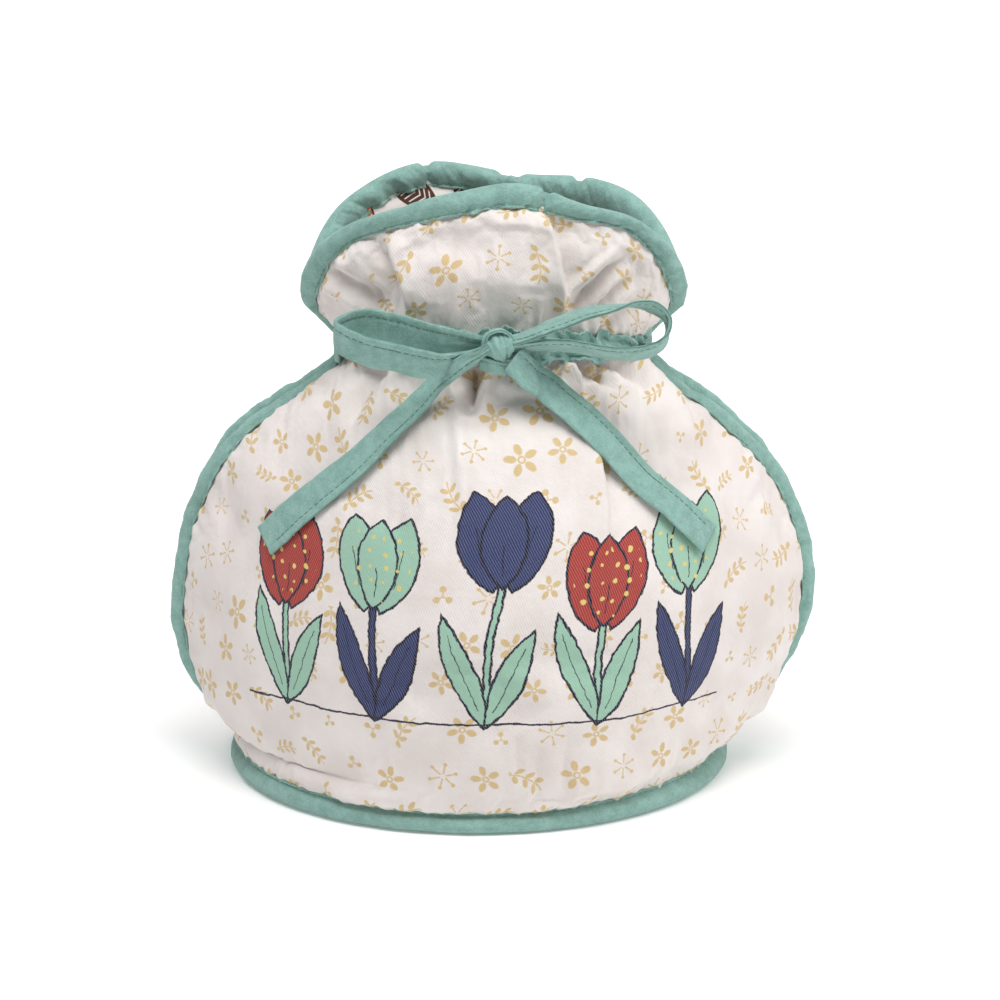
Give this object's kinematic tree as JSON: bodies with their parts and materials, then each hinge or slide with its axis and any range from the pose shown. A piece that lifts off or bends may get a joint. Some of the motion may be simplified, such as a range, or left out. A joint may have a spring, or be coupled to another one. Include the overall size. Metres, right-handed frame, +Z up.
{
  "type": "tea cosy",
  "caption": "Padded cloth tea cosy of panels bound along their edges, open at the sides for spout and handle, gathered at the neck by a tape tied in a bow under a flared collar.",
  "frame": {"origin": "centre of the bounding box, on the ground that the hem stands on", "axes": "+Z up; the front panel with the bow faces -Y; the spout's slit is on -X and the handle's slit on +X"},
  "size_m": [0.2377, 0.1912, 0.2213],
  "materials": {
    "printed_cotton": "twill cotton over wadding, off-white with a small ochre print",
    "lining_cotton": "plain cotton lining with a bold orange and dark brown print",
    "green_cotton": "plain green cotton, slightly mottled, stitched along the tape"
  },
  "bodies": {
    "root": {"panel_front": "printed_cotton", "panel_back": "printed_cotton", "lining_front": "lining_cotton", "lining_back": "lining_cotton", "binding_front": "green_cotton", "binding_back": "green_cotton", "hem_binding": "green_cotton", "casing_front": "green_cotton", "casing_back": "green_cotton", "tie_bow": "green_cotton", "tie_side_left": "green_cotton", "tie_side_right": "green_cotton"}
  },
  "joints": []
}
